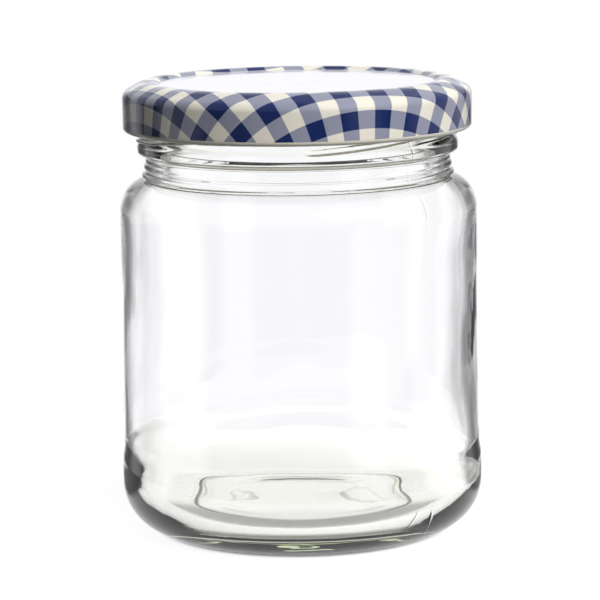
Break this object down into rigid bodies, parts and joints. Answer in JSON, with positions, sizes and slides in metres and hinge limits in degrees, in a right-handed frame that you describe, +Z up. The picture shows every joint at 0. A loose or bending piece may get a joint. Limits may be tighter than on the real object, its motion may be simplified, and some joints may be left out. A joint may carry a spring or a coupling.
{
  "type": "preserving jar",
  "caption": "Round clear-glass preserving jar, empty, closed with a twist-off metal lid printed in blue and cream gingham.",
  "frame": {"origin": "middle of the ring the jar stands on, at the standing face", "axes": "+Z up along the jar's axis, through the lid; front towards -Y, where one thread of the neck begins"},
  "size_m": [0.0693, 0.0692, 0.086],
  "materials": {
    "clear_glass": "clear, slightly green where thick",
    "printed_tinplate": "gloss lacquer over a blue and cream gingham print"
  },
  "bodies": {
    "root": {"jar": "clear_glass", "lid": "printed_tinplate"}
  },
  "joints": []
}
